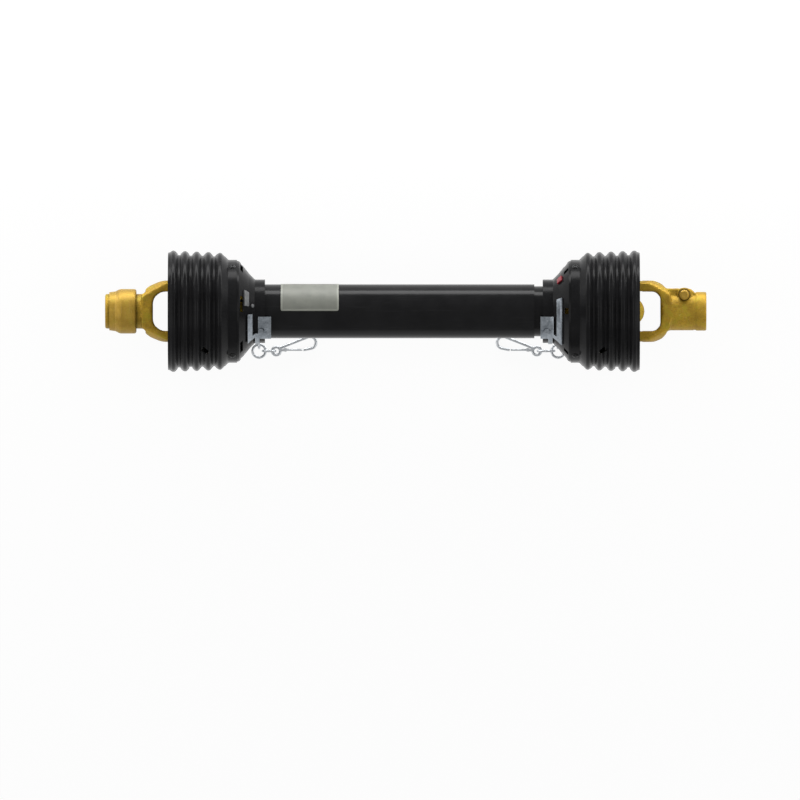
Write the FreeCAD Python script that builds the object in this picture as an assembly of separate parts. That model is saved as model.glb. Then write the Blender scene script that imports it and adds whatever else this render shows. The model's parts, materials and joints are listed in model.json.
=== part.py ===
import FreeCAD, Part
import math
import os

# Guarded power take-off shaft, closed length, lying on its two guard cones.
# +X runs along the shaft to the implement, +Y across it, +Z up. The origin is on the floor, under the middle.
# Each end is built about its own joint cross, with u outwards along X, and then moved to its place.

V = FreeCAD.Vector

# Overall sizes
cross_span = 610.0          # between the two joint crosses, closed
tractor_reach = 110.5       # cross to the free end of the tractor yoke
implement_reach = 106.0     # cross to the free end of the implement yoke
mouth_crest_r = 83.0        # first rib of a guard cone, which rests on the floor

# Clearances
press_gap = 0.02            # round pieces pressed together
running_gap = 0.05          # round pieces that turn or slide in each other
seat_gap = 0.1              # flat faces that slide
loose_gap = 0.3             # pieces that only lie near each other
tube_gap = 0.3              # inner drive tube in outer drive tube

# Joint cross, cups and their snap rings
cup_span = 74.6             # over the outer faces of opposite cups
cup_r = 13.5
cup_length = 15.0
cup_floor = 2.5
needle_size = 2.4
trunnion_r = 8.2
ring_thickness = 1.4
ring_groove_depth = 0.9
ring_width = 2.8
nipple_seat = 16.5          # middle of the cross to the flat under the grease nipple
nipple_thread_r = 2.6
nipple_depth = 5.0

# Forks
ear_inner = 27.5            # half the gap between the ears
ear_outer = 41.7            # half the width over the ears
ear_boss_r = 20.5
ear_swing_r = 44.0          # turned radius that rounds the ears
inner_fork_base = 44.0      # cross to the bottom of an inner yoke's fork
inner_corner_r = 14.0

# Splined bore: 1 3/8 inch with 6 splines
spline_count = 6
spline_minor_r = 14.95
spline_major_r = 17.5
spline_width = 8.7
shaft_groove_r = 14.7       # bottom of the locking groove in a power take-off stub

# Tractor yoke and its ball lock
tractor_base = 45.0
tractor_corner_r = 17.5
hub_r = 23.8
shoulder_u = 54.5
shoulder_r = 30.2
neck_u = 59.0
ball_r = 4.75
ball_u = 84.5
ball_count = 3
collar_stroke = 7.0
ball_travel = 2.7
collar_r = 30.6
collar_back_u = 67.6
collar_front_u = 104.8
collar_front_r = 26.2
collar_skirt_r = 27.6
collar_land = 5.0
spring_wire_r = 0.9

# Implement yoke and its push pin
implement_base = 43.0
implement_corner_r = 12.0
implement_hub_r = 25.7
implement_band_r = 26.6
implement_band_length = 14.5
pin_u = 75.5
pin_offset = 22.4
pin_r = 7.0
pin_neck_r = 4.4
pin_boss_r = 10.0
pin_boss_half = 17.0
pin_travel = 9.0
pin_button = 12.0
pad_top = 31.2

# Drive tubes: rounded triangles, three corner circles joined by flats
corner_offset = 14.5
outer_tube_corner_r = 15.5
outer_tube_wall = 3.0
inner_tube_wall = 3.2
tube_seat = 40.0            # length of a drive tube inside its yoke
tractor_hub_r = 31.5
implement_inner_hub_r = 35.0
roll_pin_r = 5.0
roll_pin_wall = 1.2
roll_pin_u = 70.0
inner_tube_reach = 522.0    # tractor cross to the free end of the inner drive tube
outer_tube_reach = 495.0    # implement cross to the free end of the outer drive tube

# Guard
bearing_inset = 12.0        # base cone's rim to the middle of the guard bearing ring
hub_past_bearing = 11.0     # middle of the bearing ring to the end of the inner yoke's hub
bearing_width = 8.0
bearing_groove_depth = 3.0
bearing_r = 44.0
cone_wall = 2.6
mouth_u = {"tractor": 24.0, "implement": 14.3}
rib_pitch = 16.0
rib_count = 5
first_crest = 7.3           # mouth edge to the first crest
crest_r = 82.3
crest_fall = 0.62
valley_r = 77.2
valley_fall = 0.75
band_r = 70.3
band_length = 12.0
cone_length = 82.7          # mouth edge to the start of the band
base_wall = 3.0
flare_length = 24.0
collar_wall = 6.1
collar_length = 14.5
guard_tube_r = 37.1
guard_tube_wall = 2.2
guard_slide_gap = 0.4
outer_guard_reach = 479.5   # tractor cross to the free end of the outer guard tube
inner_guard_reach = 470.0   # implement cross to the free end of the inner guard tube
tube_seat_in_collar = 13.0
grease_hole_r = 5.5
grease_hole_inset = 50.9    # mouth edge to the hole
grease_hole_angle = 44.0
window_size = {"tractor": 22.0, "implement": 8.0}       # round the rim
window_length = {"tractor": 3.6, "implement": 6.0}      # along the shaft
window_turn = {"tractor": -9.0, "implement": 0.0}
window_inset = 6.5          # base cone's rim to the middle of a window
window_count = 6
cone_screw_r = 2.0
tab_angle = {"tractor": -17.5, "implement": -52.0}      # degrees from the top, towards the chain side
tab_half = {"tractor": 10.5, "implement": 5.0}
tab_span = {"tractor": (3.2, 12.2), "implement": (-0.7, 8.7)}      # from the knee of the flare, up its wall
tab_depth = 4.0
tab_cap = 2.2

# Chain bracket, chain and snap hook
strap_thickness = 2.0
strap_from = {"tractor": 5.0, "implement": -18.0}       # degrees from the top, towards the chain side
strap_to = 142.0
strap_climb = 9.4           # length of the strap that lies along the flare
plate_from = 10.0
plate_to = 57.0
plate_end = {"tractor": 23.0, "implement": 17.7}        # foot of the flare to the plate's far edge
lug_angle = 140.0
lug_offset = {"tractor": -6.0, "implement": 7.0}        # foot of the flare to the lug, outwards
lug_base = {"tractor": 0.0, "implement": 8.5}           # how far the strap stands off the collar there
lug_hole_height = 7.5
lug_hole_gap = 1.45         # between the chain's wire and the lug's hole
rivet_r = 2.0
rivet_angle = 36.0
rivet_depth = 5.5
wire_r = 1.75
link_width = 14.0
link_slack = 0.3
chain_ring_r = 9.0
chain_offset = 54.5         # shaft axis to the middle of the chain, across
chain_height = 7.0          # above the floor
short_link_length = {"tractor": 17.0, "implement": 22.5}
hook_wire_r = 2.0
hook_eye_r = 5.6
hook_length = 54.0
gate_pivot = 12.3
gate_line = 1.6
gate_end = 36.5
cheek_top = 2.9
barrel_half = 1.7

# Worked out
overall_length = cross_span + tractor_reach + implement_reach
cross_x = {
    "tractor": tractor_reach - overall_length / 2,
    "implement": overall_length / 2 - implement_reach,
}
axis_height = mouth_crest_r
inner_tube_corner_r = outer_tube_corner_r - outer_tube_wall - tube_gap
inner_guard_r = guard_tube_r - guard_tube_wall - guard_slide_gap
collar_outer_r = guard_tube_r + collar_wall
hub_radius = {"tractor": tractor_hub_r, "implement": implement_inner_hub_r}
tube_corner_r = {"tractor": inner_tube_corner_r, "implement": outer_tube_corner_r}
guard_r = {"tractor": guard_tube_r, "implement": inner_guard_r}
X_AXIS, Y_AXIS, Z_AXIS = V(1, 0, 0), V(0, 1, 0), V(0, 0, 1)
origin = V(0, 0, 0)


# Shapes from outlines

def outline(steps, place):
    """A closed face. Each step is a point (a, b), or an arc (a, b of a point on it, a, b of its end)."""
    edges = []
    first = here = place(*steps[0])
    for step in steps[1:]:
        end = place(*step[-2:])
        if len(step) == 4:
            edges.append(Part.Arc(here, place(*step[:2]), end).toShape())
        else:
            edges.append(Part.LineSegment(here, end).toShape())
        here = end
    if (here - first).Length > 1e-6:
        edges.append(Part.LineSegment(here, first).toShape())
    return Part.Face(Part.Wire(edges))


def in_xy(a, b):
    return V(a, b, 0)


def in_xz(a, b):
    return V(a, 0, b)


def turned(steps):
    """A solid of revolution about the shaft axis, from points (u, radius)."""
    return outline(steps, in_xz).revolve(origin, X_AXIS, 360)


def tube(u0, u1, outer, inner):
    return turned([(u0, inner), (u1, inner), (u1, outer), (u0, outer)])


def rod(centre, axis, radius, half):
    return Part.makeCylinder(radius, 2 * half, centre - axis * half, axis)


def about_x(shape, degrees):
    moved = shape.copy()
    moved.rotate(origin, X_AXIS, degrees)
    return moved


def both_sides(shape):
    return [shape, about_x(shape, 180)]


# Joint cross

def cross_body():
    half = cup_span / 2 - cup_floor - seat_gap
    body = Part.makeSphere(17.5).common(Part.makeBox(28, 40, 40, V(-14, -20, -20)))
    for axis in (Y_AXIS, Z_AXIS):
        arm = rod(origin, axis, trunnion_r, half)
        shoulder = rod(origin, axis, trunnion_r + 3.3, half - cup_length + cup_floor - 2.2)
        body = body.fuse([arm, shoulder])
    spot = Part.makeCylinder(5.0, 20, V(0, 0, nipple_seat), Z_AXIS)
    thread = Part.makeCylinder(nipple_thread_r, 20, V(0, 0, nipple_seat - nipple_depth), Z_AXIS)
    return body.removeSplitter().cut(about_x(spot.fuse(thread), -45))


def cup():
    """A bearing cup on the +Y trunnion, closed at its outer end."""
    outer = cup_span / 2
    bore = trunnion_r + running_gap + needle_size
    shell = Part.makeCylinder(cup_r - press_gap, cup_length, V(0, outer - cup_length, 0), Y_AXIS)
    hollow = Part.makeCylinder(bore, cup_length - cup_floor, V(0, outer - cup_length, 0), Y_AXIS)
    rim = [edge for edge in shell.Edges if abs(edge.CenterOfMass.y - outer) < 0.01]
    return shell.makeChamfer(0.8, rim).cut(hollow)


def needle_row():
    """The row of needle rollers in a cup, as one sleeve."""
    outer = cup_span / 2
    base = V(0, outer - cup_length + 1.5, 0)
    length = cup_length - cup_floor - 1.5 - seat_gap
    sleeve = Part.makeCylinder(trunnion_r + needle_size + running_gap - press_gap, length, base, Y_AXIS)
    return sleeve.cut(Part.makeCylinder(trunnion_r + running_gap, length, base, Y_AXIS))


def cross_seal():
    """The seal ring between a cup and the shoulder of the cross, on the +Y trunnion."""
    top = cup_span / 2 - cup_length - seat_gap
    height = 2.0
    seal = Part.makeCylinder(cup_r - 1.2, height, V(0, top - height, 0), Y_AXIS)
    return seal.cut(Part.makeCylinder(trunnion_r + press_gap, height, V(0, top - height, 0), Y_AXIS))


def snap_ring():
    """An internal snap ring outside the +Y cup, open on one side, with its two plier eyes."""
    base = cup_span / 2 + seat_gap / 2
    outer = cup_r + ring_groove_depth - 0.1
    inner = outer - ring_width
    ring = Part.makeCylinder(outer, ring_thickness, V(0, base, 0), Y_AXIS)
    ring = ring.cut(Part.makeCylinder(inner, ring_thickness, V(0, base, 0), Y_AXIS))
    gap = Part.makeBox(10, ring_thickness, 8, V(inner - 3, base, -4))
    ring = ring.cut(gap)
    for side in (-1, 1):
        eye_centre = V(inner - 0.9, base, side * 5.4)
        ring = ring.fuse(Part.makeCylinder(2.2, ring_thickness, eye_centre, Y_AXIS))
        ring = ring.cut(Part.makeCylinder(0.9, ring_thickness, eye_centre, Y_AXIS))
    return ring


def ear_bores(fork):
    """Cups' bores and snap ring grooves, through both ears on Y."""
    groove_from = cup_span / 2
    groove_r = cup_r + ring_groove_depth
    tools = [rod(origin, Y_AXIS, cup_r, ear_swing_r + 2)]
    for side in (-1, 1):
        start = groove_from if side > 0 else -groove_from - ring_thickness - seat_gap
        tools.append(Part.makeCylinder(groove_r, ring_thickness + seat_gap, V(0, start, 0), Y_AXIS))
    return fork.cut(tools)


def grease_nipple():
    """Standing out between two arms of the cross, at 45 degrees to them."""
    corners = [math.radians(60 * index) for index in range(7)]
    hexagon = Part.makePolygon([V(4 * math.cos(angle), 4 * math.sin(angle), 0) for angle in corners])
    nut = Part.Face(hexagon).extrude(V(0, 0, 3))
    stem = Part.makeCylinder(nipple_thread_r - press_gap, nipple_depth + 1, V(0, 0, -nipple_depth))
    neck = Part.makeCylinder(2.0, 4.0, V(0, 0, 2.5))
    head = Part.makeSphere(2.6, V(0, 0, 6.6))
    shape = nut.fuse([stem, neck, head])
    shape.translate(V(0, 0, nipple_seat + press_gap))
    return about_x(shape, -45)


# Forks. Each is drawn with its hub along +u and its ears on Y.

def tangent_strip(r0, u1, half1):
    """The outline of an ear from the side: a round boss, widening or narrowing in straight lines to half1 at u1."""
    slope = math.asin((half1 - r0) / u1)
    start_u, start_z = -r0 * math.sin(slope), r0 * math.cos(slope)
    return [(start_u, start_z), (u1, half1), (u1, -half1), (start_u, -start_z), (-r0, 0, start_u, start_z)]


def fork(base, corner_r, shoulder, hub_end, hub_radius_here, half_width):
    """Both ears and the bridge between them. shoulder is the outline from the ear's face to the hub."""
    tip = ear_boss_r + 1
    mid = corner_r * (1 - math.sqrt(0.5))
    upper = [(base, 0), (base, ear_inner - corner_r),
             (base - mid, ear_inner - mid, base - corner_r, ear_inner),
             (-tip, ear_inner), (-tip, ear_outer)] + shoulder + [(hub_end, 0)]
    top_view = outline(upper, in_xy)
    lower_view = top_view.mirror(origin, Y_AXIS)
    plan = top_view.fuse(lower_view).removeSplitter()
    slab = plan.extrude(V(0, 0, 2 * half_width))
    slab.translate(V(0, 0, -half_width))
    side = outline(tangent_strip(ear_boss_r, hub_end, hub_radius_here), in_xz).extrude(V(0, 2 * ear_swing_r, 0))
    side.translate(V(0, -ear_swing_r, 0))
    arc_mid = ear_swing_r * math.sqrt(0.5)
    envelope = turned([(-ear_swing_r, 0), (-arc_mid, arc_mid, 0, ear_swing_r), (shoulder[0][-2], ear_swing_r),
                       (hub_end, hub_radius_here + 6), (hub_end, 0)])
    return slab.common(side).common(envelope)


def spline_bore(u0, u1):
    """The cutter for a splined bore: a round hole with wider grooves for the stub's splines."""
    bore = Part.makeCylinder(spline_minor_r, u1 - u0, V(u0, 0, 0), X_AXIS)
    full = Part.makeCylinder(spline_major_r, u1 - u0, V(u0, 0, 0), X_AXIS)
    for index in range(spline_count // 2):
        bar = Part.makeBox(u1 - u0, 2 * spline_major_r + 2, spline_width,
                           V(u0, -spline_major_r - 1, -spline_width / 2))
        bore = bore.fuse(about_x(full.common(bar), 360 / spline_count * index))
    lead = 1.6
    chamfer = turned([(u1 - lead, 0), (u1 - lead, spline_minor_r), (u1 + 0.1, spline_major_r + 0.6),
                      (u1 + 0.1, 0)])
    return bore.fuse(chamfer)


def ball_angles():
    """Balls sit on the spline grooves' middles, every second groove."""
    return [90 + 120 * index for index in range(ball_count)]


def tractor_yoke():
    shoulder = [(27, ear_outer), (43.5, 37.4, shoulder_u, shoulder_r),
                (neck_u - 2.6, 25.6, neck_u + 1, hub_r)]
    body = fork(tractor_base, tractor_corner_r, shoulder, neck_u + 1.6, hub_r, hub_r)
    tip = 1.6
    hub = turned([(tractor_base, 0), (tractor_base, hub_r - 3), (tractor_base + 3, hub_r),
                  (tractor_reach - tip, hub_r), (tractor_reach, hub_r - tip), (tractor_reach, 0)])
    body = ear_bores(body.fuse(hub).removeSplitter())
    body = body.cut(spline_bore(0, tractor_reach))
    tools = [retaining_groove(), washer_groove()]
    for angle in ball_angles():
        hole = Part.makeCylinder(ball_r + running_gap, 12, V(ball_u, 0, spline_major_r + 0.1), Z_AXIS)
        seat = Part.makeCylinder(ball_r - 0.4, 12, V(ball_u, 0, 10), Z_AXIS)
        tools.append(about_x(hole.fuse(seat), angle))
    return body.cut(tools)


# Ball lock. The collar's cone holds the balls down, and lets them out as the collar is drawn back.

def retaining_u():
    return collar_front_u - 3.6


def retaining_groove():
    return tube(retaining_u(), retaining_u() + 1.6, hub_r + 1, hub_r - 1.3)


def collar_retaining_ring():
    u = retaining_u() + seat_gap / 2
    ring = tube(u, u + 1.6 - seat_gap, hub_r + 1.1, hub_r - 1.3 + press_gap)
    return ring.cut(Part.makeBox(5, 8, 10, V(u - 1, -4, hub_r - 5)))


def washer_groove():
    return tube(collar_back_u + 0.6, collar_back_u + 2.0, hub_r + 1, hub_r - 1.2)


def collar_back_washer():
    """The seat of the collar's spring: a split washer snapped into the hub, inside the collar's skirt."""
    u = collar_back_u + 0.6 + seat_gap / 2
    ring = tube(u, u + 1.4 - seat_gap, collar_skirt_r - running_gap, hub_r - 1.2 + press_gap)
    return ring.cut(Part.makeBox(5, 5, 10, V(u - 1, -2.5, -hub_r - 5)))


def lock_cone():
    """Radius of the collar's cone over the balls' middle, and its slope."""
    slope = ball_travel / collar_stroke
    rest_r = shaft_groove_r + 0.1 + ball_r
    over = rest_r + (ball_r + running_gap) / math.cos(math.atan(slope))
    return over, slope


def lock_collar():
    over, slope = lock_cone()
    bore = hub_r + running_gap
    deep = collar_skirt_r - 0.3
    cone_start = ball_u - (over - bore) / slope
    cone_end = ball_u + (deep - over) / slope
    land_start = cone_start - collar_land
    recess_end = max(cone_end + 1, ball_u + ball_r + collar_stroke + loose_gap)
    ring_seat = retaining_u()
    inside = [(collar_back_u, collar_skirt_r), (land_start, collar_skirt_r), (land_start, bore),
              (cone_start, bore), (cone_end, deep), (recess_end, deep), (recess_end, bore),
              (ring_seat, bore), (ring_seat, hub_r + 1.3), (collar_front_u, hub_r + 1.3)]
    outside = [(collar_front_u, collar_front_r), (collar_front_u - 8.5, collar_front_r + 1.2),
               (collar_front_u - 13, collar_r - 0.8), (collar_front_u - 16, collar_r),
               (collar_back_u + 3, collar_r), (collar_back_u + 0.9, collar_r - 0.9, collar_back_u, collar_r - 2.2)]
    return turned(inside + outside)


def lock_balls():
    rest_r = shaft_groove_r + 0.1 + ball_r
    ball = Part.makeSphere(ball_r, V(ball_u, 0, rest_r))
    return [about_x(ball, angle) for angle in ball_angles()]


def coil(u0, u1, radius, wire, turns, axis_place):
    """A compression spring with its ends on the two seats, wound about X and then moved by axis_place."""
    pitch = (u1 - u0 - 2 * wire) / turns
    helix = Part.makeHelix(pitch, pitch * turns, radius)
    start = Part.Wire(Part.makeCircle(wire, V(radius, 0, 0), Y_AXIS))
    spring = Part.Wire(helix.Edges).makePipeShell([start], True, True)
    spring.rotate(origin, Y_AXIS, 90)
    spring.translate(V(u0 + wire, 0, 0))
    return axis_place(spring)


def collar_spring():
    over, slope = lock_cone()
    cone_start = ball_u - (over - hub_r - running_gap) / slope
    radius = (hub_r + collar_skirt_r) / 2
    back = collar_back_u + 2.0
    return coil(back + 0.1, cone_start - collar_land - 0.1, radius, spring_wire_r, 3, lambda shape: shape)


# Implement yoke with its push pin, which crosses the bore on the +Y side

def pin_centre():
    return V(pin_u, pin_offset, 0)


def implement_yoke():
    shoulder = [(29, ear_outer), (43.5, 37.6, 51, 29.5), (52.5, 27.0, 55.5, implement_hub_r)]
    body = fork(implement_base, implement_corner_r, shoulder, 60, 24.5, 24.5)
    band_start = implement_reach - implement_band_length
    hub = turned([(implement_base, 0), (implement_base, implement_hub_r - 3), (implement_base + 3, implement_hub_r),
                  (band_start, implement_hub_r), (band_start + 0.8, implement_band_r),
                  (implement_reach - 1.2, implement_band_r), (implement_reach, implement_band_r - 1.2),
                  (implement_reach, 0)])
    pad = outline([(46, 0), (46, 33), (52, pad_top - 0.4), (pin_u - 6, pad_top),
                   (pin_u, pin_offset + pin_boss_r, pin_u + 6, pad_top), (pin_u + 8.5, pad_top - 0.6),
                   (band_start, implement_hub_r - 1.3), (band_start, 0)], in_xy).extrude(V(0, 0, 2 * 14.5))
    pad.translate(V(0, 0, -14.5))
    boss = rod(pin_centre(), Z_AXIS, pin_boss_r, pin_boss_half)
    body = body.fuse([hub, pad, boss]).removeSplitter()
    body = ear_bores(body).cut(spline_bore(0, implement_reach))
    hole = Part.makeCylinder(pin_r + running_gap, 3 * pin_boss_half, pin_centre() - V(0, 0, pin_boss_half + 1))
    spring_well = Part.makeCylinder(pin_boss_r - 1.6, 3, pin_centre() + V(0, 0, -pin_boss_half - 1))
    return body.cut([hole, spring_well])


def push_pin():
    """Its waist lies beside the bore when it is pressed in, and its full width across the bore at rest."""
    waist_from = pin_travel - math.sqrt(spline_major_r ** 2 - (pin_offset - pin_r) ** 2) - 0.6
    waist_to = pin_boss_half + 1.5
    tail = -pin_boss_half + pin_travel + 2.5
    top = pin_boss_half + pin_button
    half = [(0, tail), (pin_r, tail), (pin_r, waist_from), (pin_neck_r, waist_from + 2.6),
            (pin_neck_r, waist_to - 2.6), (pin_r, waist_to), (pin_r, top - 3),
            (pin_r * 0.86, top - 0.8, pin_r * 0.4, top), (0, top)]
    pin = outline(half, in_xz).revolve(origin, Z_AXIS, 360)
    pin.translate(pin_centre())
    return pin


def push_pin_cap():
    """The plug that closes the pin's hole and carries its spring."""
    cap = Part.makeCylinder(pin_boss_r - 1.6 - press_gap, 1.5, pin_centre() + V(0, 0, -pin_boss_half - 0.5))
    stud = Part.makeCylinder(2.6, 1.7, pin_centre() + V(0, 0, -pin_boss_half + 0.5))
    return cap.fuse(stud)


def push_pin_spring():
    low = -pin_boss_half + 1.0 + 0.1
    high = -pin_boss_half + pin_travel + 2.5 - 0.1

    def stand(shape):
        shape.rotate(origin, Y_AXIS, -90)
        shape.translate(pin_centre())
        return shape
    return coil(low, high, 5.0, 0.8, 3.5, stand)


# Inner yokes and drive tubes

def triangle(corner_r, u0, u1):
    """A bar of rounded triangular section along the shaft."""
    points = []
    for index in range(3):
        facing = math.radians(90 + 120 * index)
        centre = V(0, math.cos(facing), math.sin(facing)) * corner_offset
        sweep = [centre + V(0, math.cos(facing + side), math.sin(facing + side)) * corner_r
                 for side in (-math.pi / 3, 0, math.pi / 3)]
        points.append(sweep)
    edges = []
    for index, sweep in enumerate(points):
        edges.append(Part.Arc(*sweep).toShape())
        edges.append(Part.LineSegment(sweep[2], points[(index + 1) % 3][0]).toShape())
    section = Part.Face(Part.Wire(edges))
    section.translate(V(u0, 0, 0))
    return section.extrude(V(u1 - u0, 0, 0))


def bearing_u(end):
    """From the cross inwards to the middle of the guard's bearing ring."""
    return cone_length + band_length + bearing_inset - mouth_u[end]


def hub_end(end):
    return bearing_u(end) + hub_past_bearing


def facing_inwards(shape):
    """From a drawing with its hub along +u to a piece that points to the shaft's middle, with its ears on Z."""
    shape.rotate(origin, Z_AXIS, 180)
    return about_x(shape, 90)


def inner_yoke(end):
    hub = hub_radius[end]
    shoulder = [(26, ear_outer), (38, 40.6, 47, hub + 4), (50, hub + 1.2, 54, hub)]
    body = fork(inner_fork_base, inner_corner_r, shoulder, 58, min(hub, 27), min(hub, 27))
    seat = hub_end(end) - tube_seat
    groove_from = bearing_u(end) - bearing_width / 2
    groove_to = bearing_u(end) + bearing_width / 2
    groove_r = hub - bearing_groove_depth
    barrel = turned([(inner_fork_base - 0.5, 0), (inner_fork_base - 0.5, 18), (51, hub),
                     (groove_from - seat_gap, hub), (groove_from - seat_gap, groove_r),
                     (groove_to + seat_gap, groove_r), (groove_to + seat_gap, hub),
                     (hub_end(end) - 1, hub), (hub_end(end), hub - 1), (hub_end(end), 0)])
    body = ear_bores(body.fuse(barrel).removeSplitter())
    pocket = triangle(tube_corner_r[end] + press_gap, seat, hub_end(end) + 1)
    vent = Part.makeCylinder(9, seat, origin, X_AXIS)
    cross_hole = rod(V(roll_pin_u, 0, 0), Y_AXIS, roll_pin_r, hub + 2)
    return facing_inwards(body.cut([pocket, vent, cross_hole]))


def drive_tube(end, wall, far):
    """From its seat in the inner yoke to its free end."""
    corner = tube_corner_r[end]
    start = hub_end(end) - tube_seat + 0.2
    bar = triangle(corner, start, far)
    bore = triangle(corner - wall, start - 1, far + 1)
    hole = rod(V(roll_pin_u, 0, 0), Y_AXIS, roll_pin_r, 40)
    return facing_inwards(bar.cut([bore, hole]))


def roll_pin(end):
    """A slotted spring pin through the inner yoke's hub and the drive tube."""
    half = hub_radius[end] - 0.8
    pin = rod(V(roll_pin_u, 0, 0), Y_AXIS, roll_pin_r - press_gap, half)
    pin = pin.cut(rod(V(roll_pin_u, 0, 0), Y_AXIS, roll_pin_r - roll_pin_wall, half))
    slot = Part.makeBox(3, 2 * half, 1.4, V(roll_pin_u + roll_pin_r - 2.5, -half, -0.7))
    return facing_inwards(pin.cut(slot))


# Guard

def crest(index):
    return mouth_crest_r if index == 0 else crest_r - crest_fall * (index - 1)


def ribbed_outline(end, inset):
    """The wavy wall from the mouth to the band, as points and arcs, moved in by inset."""
    u = mouth_u[end]
    steps = [(u, crest(0) - 3.2 - inset)]
    for index in range(rib_count):
        middle = u - first_crest - rib_pitch * index
        valley = valley_r - valley_fall * index - inset
        half = 3.3
        low = valley + 1.6
        steps.append((middle + half, crest(index) - 1.7 - inset))
        steps.append((middle, crest(index) - inset, middle - half, crest(index) - 1.7 - inset))
        if index < rib_count - 1:
            next_middle = middle - rib_pitch
            steps.append((middle - rib_pitch / 2 + 2.4, low))
            steps.append((middle - rib_pitch / 2, valley, next_middle + rib_pitch / 2 - 2.4, low))
    steps.append((u - cone_length + 1.5, band_r + 1.5 - inset))
    steps.append((u - cone_length, band_r - inset))
    steps.append((u - cone_length - band_length, band_r - inset))
    return steps


def backwards(steps):
    """The same run of points and arcs from its other end."""
    points = [step[-2:] for step in steps]
    turned_round = [points[-1]]
    for index in range(len(steps) - 1, 0, -1):
        step = steps[index]
        turned_round.append(step[:2] + points[index - 1] if len(step) == 4 else points[index - 1])
    return turned_round


def ribbed_cone(end):
    wall = turned(ribbed_outline(end, 0) + backwards(ribbed_outline(end, cone_wall)))
    hole = Part.makeCylinder(grease_hole_r, crest_r + 5, V(mouth_u[end] - grease_hole_inset, 0, 0), Z_AXIS)
    tools = [about_x(hole, grease_hole_angle)]
    screw_u = mouth_u[end] - cone_length - band_length / 2
    for angle in screw_angles():
        shank = Part.makeCylinder(cone_screw_r, band_r + 2, V(screw_u, 0, 0), Z_AXIS)
        tools.append(about_x(shank, angle))
    return wall.cut(tools)


def screw_angles():
    return [60, 180, 300]


def base_rim(end):
    return mouth_u[end] - cone_length - band_length


def flare_points(end):
    """The base cone's outer wall, from its rim to the end of its collar."""
    u = base_rim(end)
    return [(u - 0.2, band_r - 1.2), (u - 3, band_r - 2.2), (u - 9, band_r - 9.6), (u - 17, collar_outer_r + 7.6),
            (u - flare_length, collar_outer_r + 0.6), (u - flare_length - 0.6, collar_outer_r),
            (u - flare_length - collar_length, collar_outer_r)]


def base_cone(end):
    """Rim inside the ribbed cone, flare, seat for the bearing ring, and collar round the guard tube."""
    u = base_rim(end)
    rim_r = band_r - cone_wall - press_gap
    inner_rim = rim_r - base_wall
    seat_face = -bearing_u(end) - bearing_width / 2 - seat_gap
    seat_r = bearing_r + running_gap
    lip = -bearing_u(end) + bearing_width / 2
    tube_r = guard_r[end] + press_gap
    hub_room = hub_radius[end] + 1
    collar_end = u - flare_length - collar_length
    stop = collar_end + tube_seat_in_collar
    stop_end = stop + 1.6
    outer = [(u + band_length - 1, rim_r), (u - 0.2, rim_r)] + flare_points(end)
    inner = [(collar_end, tube_r), (stop, tube_r), (stop, tube_r - guard_tube_wall),
             (stop_end, tube_r - guard_tube_wall), (stop_end, hub_room),
             (seat_face, hub_room), (seat_face, seat_r), (lip, seat_r), (lip, seat_r + 2.2),
             (u - 14.5, seat_r + 2.2), (u - 3, inner_rim - 3.2), (u + band_length - 1, inner_rim)]
    body = turned(outer + inner)
    length, size = window_length[end], window_size[end]
    tools = []
    for index in range(window_count):
        slot = Part.makeBox(length, size, 40, V(u - window_inset - length / 2, -size / 2, 40))
        tools.append(about_x(slot, window_turn[end] + 360 / window_count * index))
    foot = tab_middle(end)
    pocket = Part.makeBox(4.6, 6.6, 40, V(foot.x - 2.3, -3.3, foot.y - tab_depth - loose_gap))
    tools.append(about_x(pocket, tab_angle[end]))
    screw_u = u + band_length / 2
    for angle in screw_angles():
        shank = Part.makeCylinder(cone_screw_r, band_r + 2, V(screw_u, 0, 0), Z_AXIS)
        tools.append(about_x(shank, angle))
    tools.append(about_x(rod(V(rivet_u(end), 0, collar_outer_r + 2), Z_AXIS, rivet_r, rivet_depth), rivet_angle))
    return body.cut(tools)


def rivet_u(end):
    return base_rim(end) - flare_length - 9


def bearing_ring(end):
    """The nylon ring that carries the guard on the yoke's groove. It is split, and snaps into the base cone."""
    inner = hub_radius[end] - bearing_groove_depth + running_gap
    start = -bearing_u(end) - bearing_width / 2
    ring = tube(start, start + bearing_width, bearing_r, inner)
    return ring.cut(Part.makeBox(bearing_width + 2, 3, 30, V(start - 1, -1.5, -50)))


def cone_screws(end):
    u = mouth_u[end] - cone_length - band_length / 2
    screws = []
    for angle in screw_angles():
        head = Part.makeCylinder(4.0, 1.4, V(u, 0, band_r + 0.05), Z_AXIS)
        shank = Part.makeCylinder(cone_screw_r - press_gap, 6.6, V(u, 0, band_r - 6.5), Z_AXIS)
        slot = Part.makeBox(8, 1, 1, V(u - 4, -0.5, band_r + 0.8))
        screws.append(about_x(head.fuse(shank).cut(slot), angle))
    return Part.makeCompound(screws)


def guard_tube(end, far):
    """From its seat in the base cone's collar to its free end."""
    radius = guard_r[end]
    start = base_rim(end) - flare_length - collar_length + tube_seat_in_collar - 0.1
    return tube(-far, start, radius, radius - guard_tube_wall)


# Chain bracket on the collar, and the chain that hangs from its lower end to the floor

def swept_strip(profile, from_angle, to_angle):
    """A strip of the outline (u, radius), bent round the shaft between two angles from the top towards -Y."""
    strip = outline(profile, in_xz).revolve(origin, X_AXIS, to_angle - from_angle)
    return about_x(strip, from_angle)


def flare_run(end):
    """The flare's upper run: both its ends, the direction along it and the direction off it."""
    top, knee = [V(point[0], point[1], 0) for point in flare_points(end)[2:4]]
    along = (top - knee).normalize()
    return knee, top, along, V(-along.y, along.x, 0)


def tab_middle(end):
    """The point of the flare under the middle of a release tab."""
    knee, top, along, off = flare_run(end)
    return knee + along * (sum(tab_span[end]) / 2)


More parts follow.
